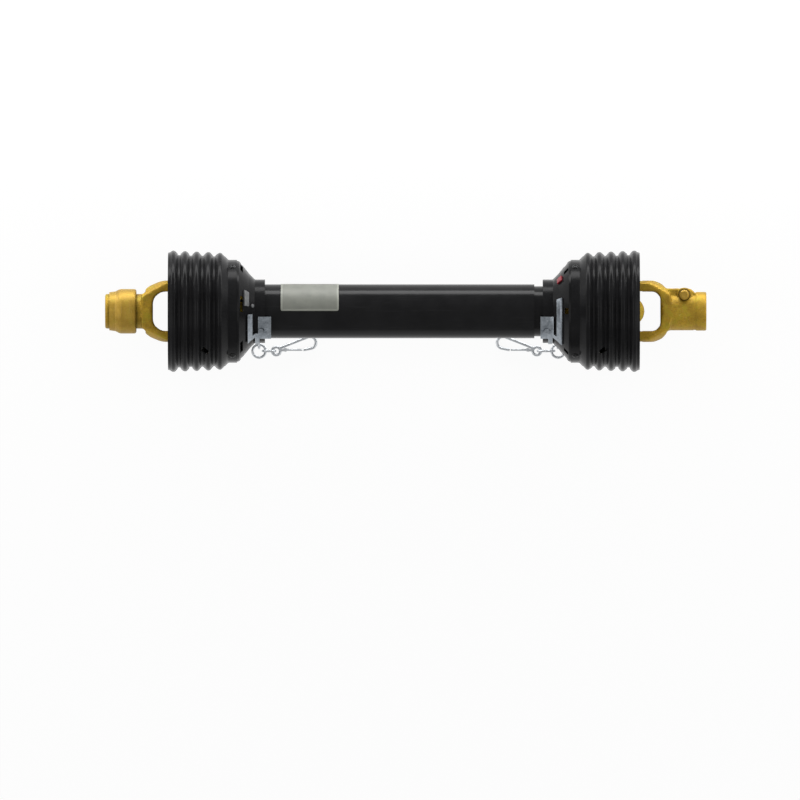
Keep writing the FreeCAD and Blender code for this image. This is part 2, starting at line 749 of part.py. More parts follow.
def strap_profile(end):
    """Section of the strap: flat on the collar, then lying a little off the flare."""
    u = base_rim(end) - flare_length
    low = collar_outer_r + press_gap
    high = low + strap_thickness
    knee, top, along, off = flare_run(end)
    near, far = off * loose_gap, off * (loose_gap + strap_thickness)
    rise = along * min(strap_climb, (top - knee).Length)
    climb = [knee + near, knee + rise + near, knee + rise + far, knee + far]
    return ([(u - 7, low), (u - 0.9, low)] + [(point.x, point.y) for point in climb]
            + [(u - 1.8, high), (u - 7, high)])


def chain_bracket(end):
    u = base_rim(end) - flare_length
    low = collar_outer_r + press_gap
    high = low + strap_thickness
    plate = swept_strip([(u - plate_end[end], low), (u - 1.8, low), (u - 1.8, high), (u - plate_end[end], high)],
                        plate_from, plate_to)
    strap = swept_strip(strap_profile(end), strap_from[end], strap_to)
    foot = low + lug_base[end]
    lug = Part.makeBox(strap_thickness, 12, lug_hole_height + 0.4, V(lug_u(end) - 1, -6, foot + 0.8))
    lug = lug.fuse(rod(V(lug_u(end), 0, foot + lug_hole_height + 1.2), X_AXIS, 6, 1))
    hole = rod(V(lug_u(end), 0, foot + lug_hole_height), X_AXIS, wire_r + lug_hole_gap, 4)
    rivet = rod(V(rivet_u(end), 0, collar_outer_r), Z_AXIS, rivet_r, 20)
    tools = [about_x(hole, lug_angle), about_x(rivet, rivet_angle)]
    return plate.fuse([strap, about_x(lug, lug_angle)]).cut(tools)


def lug_u(end):
    return base_rim(end) - flare_length + lug_offset[end]


def bracket_rivet(end):
    """A drive rivet that holds the bracket's plate to the collar."""
    low = collar_outer_r + strap_thickness + press_gap
    head = Part.makeCylinder(3.6, 1.3, V(0, 0, low + press_gap), Z_AXIS)
    shank = Part.makeCylinder(rivet_r - press_gap, rivet_depth + 0.5, V(0, 0, low - rivet_depth), Z_AXIS)
    rivet = head.fuse(shank)
    rivet.translate(V(rivet_u(end), 0, 0))
    return about_x(rivet, rivet_angle)


def framed(shape, at, along, across):
    """Moves a shape drawn on X and Y so that X runs along one direction and Y across, from a point."""
    ex, ey = V(along).normalize(), V(across).normalize()
    ez = ex.cross(ey)
    turn = FreeCAD.Matrix(ex.x, ey.x, ez.x, at.x, ex.y, ey.y, ez.y, at.y, ex.z, ey.z, ez.z, at.z, 0, 0, 0, 1)
    moved = shape.copy()
    moved.transformShape(turn)
    return moved


def half_bend(radius, wire, at_u, side):
    """Half a round of wire about Z, bulging towards side along X."""
    circle = Part.Face(Part.Wire(Part.makeCircle(wire, V(at_u, side * radius, 0), X_AXIS)))
    return circle.revolve(V(at_u, 0, 0), Z_AXIS, 180)


def link(centre_length):
    """An oval link in the XY plane. Its first end's wire crosses the origin, its length runs along +X."""
    radius = link_width / 2 - wire_r
    straight = centre_length - 2 * radius
    bends = [half_bend(radius, wire_r, radius, 1), half_bend(radius, wire_r, radius + straight, -1)]
    sides = [Part.makeCylinder(wire_r, straight, V(radius, y, 0), X_AXIS) for y in (-radius, radius)]
    return bends[0].fuse([bends[1]] + sides).removeSplitter()


def chain_points(end):
    """Where the chain's wires cross: lug hole, near side of the round ring, its centre and the hook's eye."""
    angle = math.radians(lug_angle)
    radial = collar_outer_r + press_gap + lug_base[end] + lug_hole_height + lug_hole_gap - link_slack
    top = V(lug_u(end), -radial * math.sin(angle), radial * math.cos(angle))
    height = -axis_height + chain_height
    ring_centre = V(lug_u(end), -chain_offset, height)
    near = ring_centre + V(0, chain_ring_r, 0)
    far = ring_centre + V(-chain_ring_r, 0, 0)
    eye = far + V(2 * wire_step() + hook_wire_r - wire_r - short_link_length[end] - hook_eye_r, 0, 0)
    return top, near, ring_centre, far, eye


def wire_step():
    """Between the middles of two wires that hang in each other."""
    return 2 * wire_r + link_slack


def hanging_length(end):
    top, near = chain_points(end)[:2]
    return ((near - top).Length + 2 * wire_step()) / 2


def chain_links(end):
    """Two links that hang, the round ring and the short link that carries the hook."""
    top, near, ring_centre, far = chain_points(end)[:4]
    down = (near - top).normalize()
    length = hanging_length(end)
    second_top = top + down * (length - wire_step())
    first = framed(link(length), top, down, X_AXIS)
    second = framed(link(length), second_top, down, down.cross(X_AXIS))
    ring = Part.makeTorus(chain_ring_r, wire_r, ring_centre, Z_AXIS)
    short = framed(link(short_link_length[end]), far + V(wire_step(), 0, 0), V(-1, 0, 0), Z_AXIS)
    return [first, second, ring, short]


# Snap hook, drawn flat with its eye at the origin, its length along +X and its back on +Y

def rounded_path(points, radius):
    """Straight runs joined by tangent arcs at each inner point."""
    edges = []
    here = V(*points[0], 0)
    for index in range(1, len(points) - 1):
        corner = V(*points[index], 0)
        back = (V(*points[index - 1], 0) - corner).normalize()
        on = (V(*points[index + 1], 0) - corner).normalize()
        half = back.getAngle(on) / 2
        start = corner + back * (radius / math.tan(half))
        end = corner + on * (radius / math.tan(half))
        centre = corner + (back + on).normalize() * (radius / math.sin(half))
        middle = centre + (corner - centre).normalize() * radius
        edges.append(Part.LineSegment(here, start).toShape())
        edges.append(Part.Arc(start, middle, end).toShape())
        here = end
    edges.append(Part.LineSegment(here, V(*points[-1], 0)).toShape())
    return Part.Wire(edges)


def hook_frame(end, shape):
    """Laid from the eye towards the shaft's middle, dipping to the floor at its bend."""
    eye = chain_points(end)[-1]
    dip = math.asin((chain_height - hook_wire_r) / hook_length)
    return framed(shape, eye, V(-math.cos(dip), 0, -math.sin(dip)), Y_AXIS)


def snap_hook(end):
    path = rounded_path([(3.2, 3.6), (52.5, 22.7), (56.5, 5.2), (gate_end + 1.0, 1.5)], 8.1)
    start = path.Edges[0]
    aim = start.tangentAt(start.FirstParameter)
    circle = Part.Wire(Part.makeCircle(hook_wire_r, start.Vertexes[0].Point, aim))
    body = path.makePipeShell([circle], True, True)
    eye = Part.makeTorus(hook_eye_r, hook_wire_r, origin, Z_AXIS)
    shank = Part.makeBox(gate_pivot - hook_eye_r + 0.5, 3.6, 2 * cheek_top, V(hook_eye_r - 0.5, -0.6, -cheek_top))
    cheek = Part.makeCylinder(2.6, 2 * cheek_top, V(gate_pivot, gate_line, -cheek_top))
    room = Part.makeCylinder(3.1, 2 * barrel_half + 0.2, V(gate_pivot, gate_line, -barrel_half - 0.1))
    sweep = Part.makeBox(8, 16, 2 * barrel_half + 0.2, V(gate_pivot, gate_line - 2.4, -barrel_half - 0.1))
    pivot = Part.makeCylinder(1.0, 2 * cheek_top, V(gate_pivot, gate_line, -cheek_top))
    knuckle = shank.fuse(cheek).cut([room, sweep]).fuse(pivot)
    return hook_frame(end, body.fuse([eye, knuckle]).removeSplitter())


def hook_gate(end):
    """The sprung gate: a barrel on the hook's pivot pin, and a finger that closes on the hook's tip."""
    barrel = Part.makeCylinder(2.4, 2 * barrel_half, V(gate_pivot, gate_line, -barrel_half))
    finger = Part.makeCylinder(1.5, gate_end - gate_pivot - 2.1, V(gate_pivot + 1.6, gate_line, 0), X_AXIS)
    bore = Part.makeCylinder(1.0 + running_gap, 20, V(gate_pivot, gate_line, -10))
    return hook_frame(end, barrel.fuse(finger).cut(bore))


def release_tab(end):
    """A plastic catch on the flare: a shank in a blind pocket, and a cap that follows the wall."""
    knee, top, along, off = flare_run(end)
    low, high = tab_span[end]
    corners = [knee + along * run + off * height for run, height in (
        (low, loose_gap), (high, loose_gap), (high, loose_gap + tab_cap), (low, loose_gap + tab_cap))]
    cap = swept_strip([(corner.x, corner.y) for corner in corners],
                      tab_angle[end] - tab_half[end], tab_angle[end] + tab_half[end])
    foot = tab_middle(end)
    shank = Part.makeBox(4.0, 6.0, tab_depth + 1.2, V(foot.x - 2.0, -3.0, foot.y - tab_depth))
    return cap.fuse(about_x(shank, tab_angle[end])).removeSplitter()


# Every piece, by name. A list of shapes shares one node.

def end_pieces(end):
    bearings = both_sides(cup()) + both_sides(needle_row())
    snap_rings = both_sides(snap_ring())
    seals = both_sides(cross_seal())
    seals += [about_x(seal, 90) for seal in seals]
    links = chain_links(end)
    pieces = {
        "cross": cross_body(),
        "grease_nipple": grease_nipple(),
        "cross_seals": seals,
        "outer_bearings": bearings,
        "outer_snap_rings": snap_rings,
        "inner_bearings": [about_x(piece, 90) for piece in bearings],
        "inner_snap_rings": [about_x(piece, 90) for piece in snap_rings],
        "inner_yoke": inner_yoke(end),
        "roll_pin": roll_pin(end),
        "bearing_ring": bearing_ring(end),
        "base_cone": base_cone(end),
        "ribbed_cone": ribbed_cone(end),
        "cone_screws": cone_screws(end),
        "chain_bracket": chain_bracket(end),
        "bracket_rivet": bracket_rivet(end),
        "release_tab": release_tab(end),
        "chain_link_1": links[0],
        "chain_link_2": links[1],
        "chain_ring": links[2],
        "short_link": links[3],
        "snap_hook": snap_hook(end),
        "hook_gate": hook_gate(end),
    }
    return {end + "_" + name: shape for name, shape in pieces.items()}


def single_pieces():
    balls = {f"lock_ball_{index + 1}": ball for index, ball in enumerate(lock_balls())}
    tractor = {
        "tractor_yoke": tractor_yoke(),
        "lock_collar": lock_collar(),
        "collar_spring": collar_spring(),
        "collar_retaining_ring": collar_retaining_ring(),
        "collar_back_washer": collar_back_washer(),
        "inner_drive_tube": drive_tube("tractor", inner_tube_wall, inner_tube_reach),
        "outer_guard_tube": guard_tube("tractor", outer_guard_reach),
    }
    implement = {
        "implement_yoke": implement_yoke(),
        "push_pin": push_pin(),
        "push_pin_spring": push_pin_spring(),
        "push_pin_cap": push_pin_cap(),
        "outer_drive_tube": drive_tube("implement", outer_tube_wall, outer_tube_reach),
        "inner_guard_tube": guard_tube("implement", inner_guard_reach),
    }
    return {"tractor": {**balls, **tractor}, "implement": implement}


def stand_in_place(shape, end):
    """From the frame of one end, with u outwards, to the frame of the whole shaft."""
    moved = shape.copy()
    if end == "tractor":
        moved = moved.mirror(origin, X_AXIS)
    moved.translate(V(cross_x[end], 0, axis_height))
    return moved


def write_all():
    os.makedirs("parts", exist_ok=True)
    singles = single_pieces()
    for end in ("tractor", "implement"):
        for name, made in {**end_pieces(end), **singles[end]}.items():
            solids = [solid for shape in (made if isinstance(made, list) else [made]) for solid in shape.Solids]
            placed = [stand_in_place(solid, end) for solid in solids]
            shape = placed[0] if len(placed) == 1 else Part.makeCompound(placed)
            shape.exportStep(f"parts/{name}.step")
            print(f"{name}: {len(placed)} solid(s), valid {shape.isValid()}, {shape.Volume / 1000:.2f} cm3")


write_all()
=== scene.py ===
import json
import math

import bmesh
import bpy
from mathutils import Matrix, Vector, noise


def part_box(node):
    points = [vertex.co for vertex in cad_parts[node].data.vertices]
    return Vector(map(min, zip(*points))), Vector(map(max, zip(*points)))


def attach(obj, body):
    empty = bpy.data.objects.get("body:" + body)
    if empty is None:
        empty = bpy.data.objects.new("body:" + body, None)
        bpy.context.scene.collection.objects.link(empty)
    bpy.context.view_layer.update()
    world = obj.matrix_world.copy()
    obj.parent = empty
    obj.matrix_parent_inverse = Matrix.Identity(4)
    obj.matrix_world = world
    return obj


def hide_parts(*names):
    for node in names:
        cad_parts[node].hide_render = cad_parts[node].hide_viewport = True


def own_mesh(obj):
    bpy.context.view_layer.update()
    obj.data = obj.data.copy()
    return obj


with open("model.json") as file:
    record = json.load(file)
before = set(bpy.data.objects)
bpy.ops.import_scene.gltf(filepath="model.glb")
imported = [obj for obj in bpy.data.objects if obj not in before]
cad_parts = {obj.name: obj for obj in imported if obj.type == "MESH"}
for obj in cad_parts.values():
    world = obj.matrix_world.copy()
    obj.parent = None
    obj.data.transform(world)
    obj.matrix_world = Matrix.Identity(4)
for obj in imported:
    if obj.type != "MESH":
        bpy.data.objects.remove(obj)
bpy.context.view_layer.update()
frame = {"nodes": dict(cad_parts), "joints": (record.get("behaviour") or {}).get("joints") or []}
nodes = frame["nodes"]
print("frame loaded:", len(nodes), "nodes")

mm = 0.001
together = 0.001 * mm        # points nearer than this are one point
scene = bpy.context.scene
# for each end of the shaft: the way it points along X, and the body that its guard moves with
outwardsOf = {"tractor": -1, "implement": 1}
guardOf = {"tractor": "outer_guard", "implement": "inner_guard"}


def middleOf(node):
    return [(low + high) / 2 for low, high in zip(*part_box(node))]


def sizeOf(node):
    return [high - low for low, high in zip(*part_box(node))]


def innerEdge(node, outwards):
    # the side of a piece that faces the shaft's middle, along X
    low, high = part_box(node)
    return low[0] if outwards > 0 else high[0]


axisHeight = middleOf("outer_guard_tube")[2]
tubeRadius = sizeOf("outer_guard_tube")[2] / 2


# camera

view = {
    "aim": (-7.9 * mm, -122 * mm),
    "width": 1100 * mm,      # what the frame takes in, at the shaft's height
    "distance": 40.0,
    "sensor": 36.0,
    "clipEnd": 90.0,
}


def makeCamera():
    data = bpy.data.cameras.new("camera")
    data.sensor_width = view["sensor"]
    data.lens = view["sensor"] * view["distance"] / view["width"]
    data.clip_end = view["clipEnd"]
    camera = bpy.data.objects.new("camera", data)
    camera.location = (view["aim"][0], view["aim"][1], axisHeight + view["distance"])
    scene.collection.objects.link(camera)
    scene.camera = camera


def toLinear(hexColour):
    parts = [int(hexColour[i:i + 2], 16) / 255 for i in (1, 3, 5)]
    return [p / 12.92 if p <= 0.04045 else ((p + 0.055) / 1.055) ** 2.4 for p in parts] + [1.0]


def addNode(tree, kind, settings=None, **links):
    # settings: attributes, or inputs by name or number, each with its value or the socket that gives it
    # links: input name -> output socket
    node = tree.nodes.new(kind)
    for name, value in (settings or {}).items():
        if not isinstance(name, int) and name not in node.inputs:
            setattr(node, name, value)
        elif isinstance(value, bpy.types.NodeSocket):
            tree.links.new(value, node.inputs[name])
        else:
            node.inputs[name].default_value = value
    for name, socket in links.items():
        tree.links.new(socket, node.inputs[name.replace("_", " ")])
    return node


# finishes, each named for the real material: sizes of patches and grain are in mm,
# bloom and speckle are the size of a spot in mm, its colour and the most of it

# the colour given for hollows is painted shade: it darkens whatever lies deep in a hollow
finishes = {
    # blow-moulded polyethylene: near black, satin, a fine leathery skin and pale scuffs
    "mouldedPolyethylene": {
        "dark": "#141415", "light": "#1d1d1e", "patch": 38,
        "metal": 0.0, "rough": (0.16, 0.26), "specular": 0.075,
        "grain": 0.9, "grainHeight": 0.06,
        "scratch": "#303031", "scratchAmount": 0.25, "scratchStretch": (1, 1, 1)},
    # extruded polyethylene tube: the same black with die lines along its length
    "extrudedPolyethylene": {
        "dark": "#151516", "light": "#1b1b1c", "patch": 30,
        "metal": 0.0, "rough": (0.15, 0.21), "specular": 0.13,
        "grain": 0.7, "grainHeight": 0.015,
        "scratch": "#2a2a2b", "scratchAmount": 0.25, "scratchStretch": (0.05, 1, 1)},
    # forged steel under yellow chromate: brassy, a hammered forging skin, and painted shade, dark and a
    # little green, in the hollows
    "chromatedForging": {
        "dark": "#a5831f", "light": "#c09a28", "patch": 16,
        "metal": 0.50, "rough": (0.48, 0.60), "specular": 0.5,
        "grain": 1.6, "grainHeight": 0.16,
        "scratch": "#d8b878", "scratchAmount": 0.25, "scratchStretch": (1, 1, 1),
        "hollow": "#5f5410", "edge": "#e2c080",
        "speckle": (2.2, "#6c5516", 0.36), "bloom": (13, "#b2a826", 0.40)},
    # turned steel under yellow chromate: warmer and smoother, with fine tool rings
    "chromatedTurning": {
        "dark": "#a38127", "light": "#b89436", "patch": 14,
        "metal": 0.55, "rough": (0.44, 0.56), "specular": 0.5,
        "grain": 0.9, "grainHeight": 0.04,
        "scratch": "#efd09a", "scratchAmount": 0.25, "scratchStretch": (6, 0.2, 0.2),
        "hollow": "#6a4f14", "edge": "#cda850",
        "speckle": (1.4, "#7e6420", 0.32), "bloom": (12, "#b4a838", 0.22)},
    # bright zinc over pressed strip: blue-grey, mottled where it was handled and stacked
    "brightZinc": {
        "dark": "#838a91", "light": "#9fa6ad", "patch": 6,
        "metal": 0.9, "rough": (0.30, 0.42), "specular": 0.5,
        "grain": 0.8, "grainHeight": 0.03,
        "scratch": "#e2e6ea", "scratchAmount": 0.3, "scratchStretch": (1, 1, 1),
        "hollow": "#50555a", "edge": "#d4d9de",
        "speckle": (2.6, "#5b6167", 0.45), "bloom": (7, "#b4bac0", 0.30)},
    # electroplated wire: the same zinc, paler, since drawn wire plates bright
    "platedWire": {
        "dark": "#cdd1d5", "light": "#dfe2e5", "patch": 7,
        "metal": 0.62, "rough": (0.24, 0.36), "specular": 0.5,
        "grain": 0.6, "grainHeight": 0.02,
        "scratch": "#f0f2f4", "scratchAmount": 0.3, "scratchStretch": (1, 1, 1),
        "hollow": "#959a9f", "edge": "#f2f4f6"},
    # cold drawn steel, oiled: dull grey, with painted shade of dark brown in its hollows
    "oiledSteel": {
        "dark": "#3c3a37", "light": "#6a6864", "patch": 12,
        "metal": 0.9, "rough": (0.30, 0.48), "specular": 0.5,
        "grain": 0.6, "grainHeight": 0.03,
        "scratch": "#8d8b87", "scratchAmount": 0.3, "scratchStretch": (0.08, 1, 1),
        "hollow": "#2a221a", "edge": "#8a8884"},
    # hardened bearing steel: clean and close to a mirror
    "polishedSteel": {
        "dark": "#a9acae", "light": "#c9cbcc", "patch": 5,
        "metal": 1.0, "rough": (0.10, 0.18), "specular": 0.5,
        "grain": 0.4, "grainHeight": 0.01,
        "scratch": "#e4e6e8", "scratchAmount": 0.15, "scratchStretch": (1, 1, 1)},
    # blackened steel screws: dark grey with bright worn edges
    "blackenedSteel": {
        "dark": "#1c1c1d", "light": "#2c2c2d", "patch": 5,
        "metal": 0.8, "rough": (0.34, 0.46), "specular": 0.5,
        "grain": 0.4, "grainHeight": 0.01,
        "scratch": "#5a5a5a", "scratchAmount": 0.2, "scratchStretch": (1, 1, 1),
        "hollow": "#0c0c0c", "edge": "#6a6a6a"},
    # nitrile rubber: matt black, dusty
    "nitrileRubber": {
        "dark": "#18181a", "light": "#2a2a2b", "patch": 5,
        "metal": 0.0, "rough": (0.62, 0.78), "specular": 0.3,
        "grain": 0.5, "grainHeight": 0.05,
        "scratch": "#3a3a3a", "scratchAmount": 0.3, "scratchStretch": (1, 1, 1)},
    # cast nylon: ivory, slightly waxy
    "castNylon": {
        "dark": "#c9c3b2", "light": "#ddd8ca", "patch": 12,
        "metal": 0.0, "rough": (0.36, 0.48), "specular": 0.45,
        "grain": 0.6, "grainHeight": 0.03,
        "scratch": "#eae6da", "scratchAmount": 0.2, "scratchStretch": (1, 1, 1)},
    # filled nylon: mid grey, dull, with a faint mould grain
    "greyNylon": {
        "dark": "#5e5f60", "light": "#6f7071", "patch": 4,
        "metal": 0.0, "rough": (0.44, 0.56), "specular": 0.35,
        "grain": 0.5, "grainHeight": 0.03,
        "scratch": "#939495", "scratchAmount": 0.2, "scratchStretch": (1, 1, 1)},
    # injection-moulded red acetal: even colour, soft gloss
    "redAcetal": {
        "dark": "#701420", "light": "#8c1a28", "patch": 6,
        "metal": 0.0, "rough": (0.28, 0.38), "specular": 0.5,
        "grain": 0.5, "grainHeight": 0.03,
        "scratch": "#c85058", "scratchAmount": 0.15, "scratchStretch": (1, 1, 1)},
}

# what the finishes share: where patches, scuffs, spots, the painted shade in hollows and worn edges start
# and stop
wearAndPaintedShade = {
    "patches": (0.34, 0.66),     # noise, from the dark colour to the light one
    "scuffScale": 420.0,         # per metre, so about 2.4 mm from scuff to scuff
    "scuffs": (0.60, 0.72),      # noise, from none to full
    "spots": (0.50, 0.64),
    "hollowReach": 6 * mm,
    "hollows": (0.35, 0.9),      # how open a point is, from full shade to none
    "hollowMost": 0.7,
    "edgeRadius": 0.8 * mm,
    "edges": (0.995, 0.9),       # cosine of the lean across an edge, from no wear to full
    "edgeMost": 0.55,
}


def makeFinish(name, look):
    material = bpy.data.materials.new(name)
    material.use_nodes = True
    tree = material.node_tree
    tree.nodes.clear()
    where = addNode(tree, "ShaderNodeTexCoord").outputs["Object"]

    # broad patches of colour, and gloss that goes with them
    patches = addNode(tree, "ShaderNodeTexNoise", {"Scale": 1 / (look["patch"] * mm), "Detail": 5.0},
                      Vector=where)
    start, stop = wearAndPaintedShade["patches"]
    spread = addNode(tree, "ShaderNodeMapRange", {"From Min": start, "From Max": stop},
                     Value=patches.outputs["Fac"])
    colour = addNode(tree, "ShaderNodeMix",
                     {"data_type": "RGBA", 0: spread.outputs["Result"],
                      6: toLinear(look["dark"]), 7: toLinear(look["light"])})
    last = colour.outputs[2]

    # scuffs and tool marks, thin lines where the noise crosses a level
    turned = addNode(tree, "ShaderNodeMapping", {"Scale": look["scratchStretch"]}, Vector=where)
    lines = addNode(tree, "ShaderNodeTexNoise",
                    {"Scale": wearAndPaintedShade["scuffScale"], "Detail": 3.0, "Distortion": 0.4},
                    Vector=turned.outputs["Vector"])
    start, stop = wearAndPaintedShade["scuffs"]
    thin = addNode(tree, "ShaderNodeMapRange",
                   {"From Min": start, "From Max": stop, "To Max": look["scratchAmount"]},
                   Value=lines.outputs["Fac"])
    layers = [(thin.outputs["Result"], look["scratch"])]
    # under the scuffs, the plating bath's cloudy stain and the pits and specks of a rough blank
    for kind in ("bloom", "speckle"):
        if kind in look:
            size, hexColour, amount = look[kind]
            spots = addNode(tree, "ShaderNodeTexNoise",
                            {"Scale": 1 / (size * mm), "Detail": 3.0, "Roughness": 0.6}, Vector=where)
            start, stop = wearAndPaintedShade["spots"]
            some = addNode(tree, "ShaderNodeMapRange",
                           {"From Min": start, "From Max": stop, "To Max": amount},
                           Value=spots.outputs["Fac"])
            layers.insert(0, (some.outputs["Result"], hexColour))
    # painted shade: a darker colour laid where ambient occlusion finds the shape closing in; then worn
    # edges, lighter, found by a bevel
    if "hollow" in look:
        shade = addNode(tree, "ShaderNodeAmbientOcclusion",
                        {"samples": 4, "Distance": wearAndPaintedShade["hollowReach"]})
        start, stop = wearAndPaintedShade["hollows"]
        deep = addNode(tree, "ShaderNodeMapRange",
                       {"From Min": start, "From Max": stop,
                        "To Min": wearAndPaintedShade["hollowMost"], "To Max": 0.0},
                       Value=shade.outputs["AO"])
        layers.append((deep.outputs["Result"], look["hollow"]))
        rounded = addNode(tree, "ShaderNodeBevel", {"samples": 4, "Radius": wearAndPaintedShade["edgeRadius"]})
        flat = addNode(tree, "ShaderNodeNewGeometry")
        lean = addNode(tree, "ShaderNodeVectorMath",
                       {"operation": "DOT_PRODUCT",
                        0: rounded.outputs["Normal"], 1: flat.outputs["Normal"]})
        start, stop = wearAndPaintedShade["edges"]
        worn = addNode(tree, "ShaderNodeMapRange",
                       {"From Min": start, "From Max": stop, "To Max": wearAndPaintedShade["edgeMost"]},
                       Value=lean.outputs["Value"])
        layers.append((worn.outputs["Result"], look["edge"]))
    for share, hexColour in layers:
        over = addNode(tree, "ShaderNodeMix",
                       {"data_type": "RGBA", 0: share, 6: last, 7: toLinear(hexColour)})
        last = over.outputs[2]

    gloss = addNode(tree, "ShaderNodeMapRange", {"To Min": look["rough"][0], "To Max": look["rough"][1]},
                    Value=patches.outputs["Fac"])
    grain = addNode(tree, "ShaderNodeTexNoise", {"Scale": 1 / (look["grain"] * mm), "Detail": 4.0},
                    Vector=turned.outputs["Vector"])
    bump = addNode(tree, "ShaderNodeBump", {"Strength": 1.0, "Distance": look["grainHeight"] * mm},
                   Height=grain.outputs["Fac"])
    surface = addNode(tree, "ShaderNodeBsdfPrincipled",
                      {"Metallic": look["metal"], "Specular IOR Level": look["specular"]},
                      Base_Color=last, Roughness=gloss.outputs["Result"], Normal=bump.outputs["Normal"])
    addNode(tree, "ShaderNodeOutputMaterial", Surface=surface.outputs["BSDF"])
    return material


materials = {name: makeFinish(name, look) for name, look in finishes.items()}

# which finish each CAD node shows, by the end of its name
finishOf = [
    ("cone_screws", "blackenedSteel"), ("ribbed_cone", "mouldedPolyethylene"),
    ("base_cone", "mouldedPolyethylene"), ("guard_tube", "extrudedPolyethylene"),
    ("bearing_ring", "castNylon"), ("cross_seals", "nitrileRubber"),
    ("tractor_release_tab", "greyNylon"), ("release_tab", "redAcetal"),
    ("lock_collar", "chromatedTurning"), ("push_pin", "chromatedTurning"), ("yoke", "chromatedForging"),
    ("drive_tube", "oiledSteel"), ("cross", "oiledSteel"), ("spring", "oiledSteel"),
    ("ball_1", "polishedSteel"), ("ball_2", "polishedSteel"), ("ball_3", "polishedSteel"),
    ("bearings", "polishedSteel"), ("link_1", "platedWire"), ("link_2", "platedWire"),
    ("chain_ring", "platedWire"), ("short_link", "platedWire"), ("snap_hook", "platedWire"),
    ("hook_gate", "platedWire"), ("", "brightZinc"),
]
for name, piece in nodes.items():
    finish = next(finish for ending, finish in finishOf if name.endswith(ending))
    piece.data.materials.clear()
    piece.data.materials.append(materials[finish])
print("finishes:", len(materials))


def dress(piece, finish, body):
    # a new piece's material and the body that it moves with
    piece.data.materials.clear()
    piece.data.materials.append(materials[finish])
    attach(piece, body)


# meshes of the new pieces, and of the parts that trees copy and cuts use up

def placeMesh(name, mesh):
    data = bpy.data.meshes.new(name)
    mesh.to_mesh(data)
    mesh.free()
    piece = bpy.data.objects.new(name, data)
    scene.collection.objects.link(piece)
    return piece


def copyNode(node, name):
    mesh = bmesh.new()
    mesh.from_mesh(nodes[node].data)
    bmesh.ops.remove_doubles(mesh, verts=mesh.verts, dist=together)
    return placeMesh(name, mesh)


def makePart(name, mesh, place=(0, 0, 0)):
    # a closed mesh with its faces outwards, moved to its place
    bmesh.ops.recalc_face_normals(mesh, faces=mesh.faces)
    bmesh.ops.translate(mesh, verts=mesh.verts, vec=place)
    return placeMesh(name, mesh)


def applyModifiers(piece):
    depsgraph = bpy.context.evaluated_depsgraph_get()
    piece.data = bpy.data.meshes.new_from_object(piece.evaluated_get(depsgraph), depsgraph=depsgraph)
    piece.modifiers.clear()


def carve(part, cutter):
    cut = part.modifiers.new("cut", "BOOLEAN")
    cut.object = cutter
    cut.solver = "EXACT"
    applyModifiers(part)
    bpy.data.objects.remove(cutter)


def latheMesh(profile, segments):
    # a closed solid of revolution about Z, from points (radius, height)
    mesh = bmesh.new()
    rings = []
    for radius, height in profile:
        if radius == 0:
            rings.append([mesh.verts.new((0, 0, height))] * segments)
        else:
            rings.append([mesh.verts.new((radius * math.cos(2 * math.pi * k / segments),
                                          radius * math.sin(2 * math.pi * k / segments), height))
                          for k in range(segments)])
    for below, above in zip(rings, rings[1:]):
        for k in range(segments):
            corners = [below[k], below[(k + 1) % segments], above[(k + 1) % segments], above[k]]
            face = mesh.faces.new(list(dict.fromkeys(corners)))
            face.smooth = True
    return mesh


def joinLoops(mesh, one, two):
    # the wall between two loops of as many corners
    for k in range(len(one)):
        after = (k + 1) % len(one)
        mesh.faces.new([one[k], one[after], two[after], two[k]])


# data plate: a blank foil plate wrapped on the guard tube, with a ruled edge

plate = {
    "from": -171.9 * mm,
    "to": -92.1 * mm,
    "first": 0.5,            # degrees from the top of the tube, towards +Y
    "last": 112.0,
    "lift": 0.25 * mm,
    "corner": 2.0 * mm,
    "columns": 60,
    "rows": 48,
    "foil": "#75776f",
    "ruling": "#878980",
    "smudge": "#6a6c65",
    "border": 2.6,           # mm
    "smudgeScale": 0.06,     # per mm, so smudges are about 17 mm wide
    "smudges": (0.4, 0.7),   # noise from the foil's colour to the smudge's
    "brushScale": 2.4,       # per mm, so brushed lines are about 0.4 mm apart
    "brushStretch": (0.05, 1, 1),
    "brushDepth": 0.015 * mm,
    "metal": 0.1,
    "rough": 0.5,
}


def makePlate():
    length = plate["to"] - plate["from"]
    radius = tubeRadius + plate["lift"]
    arc = math.radians(plate["last"] - plate["first"]) * radius
    mesh = bmesh.new()
    layer = mesh.loops.layers.uv.new("plate")
    grid = []
    for i in range(plate["columns"] + 1):
        along = length * i / plate["columns"]
        edge = min(along, length - along)
        inset = 0.0
        if edge < plate["corner"]:
            inset = plate["corner"] - math.sqrt(plate["corner"] ** 2 - (plate["corner"] - edge) ** 2)
        column = []
        for j in range(plate["rows"] + 1):
            around = inset + (arc - 2 * inset) * j / plate["rows"]
            angle = math.radians(plate["first"]) + around / radius
            vert = mesh.verts.new((plate["from"] + along, radius * math.sin(angle),
                                   axisHeight + radius * math.cos(angle)))
            column.append((vert, along / mm, around / mm))
        grid.append(column)
    for i in range(plate["columns"]):
        for j in range(plate["rows"]):
            corners = [grid[i][j], grid[i][j + 1], grid[i + 1][j + 1], grid[i + 1][j]]
            face = mesh.faces.new([c[0] for c in corners])
            for loop, corner in zip(face.loops, corners):
                loop[layer].uv = (corner[1], corner[2])
            face.smooth = True
    mesh.normal_update()
    piece = placeMesh("data_plate", mesh)
    wall = piece.modifiers.new("wall", "SOLIDIFY")
    wall.thickness = plate["lift"]
    wall.offset = -1
    return piece, length / mm, arc / mm


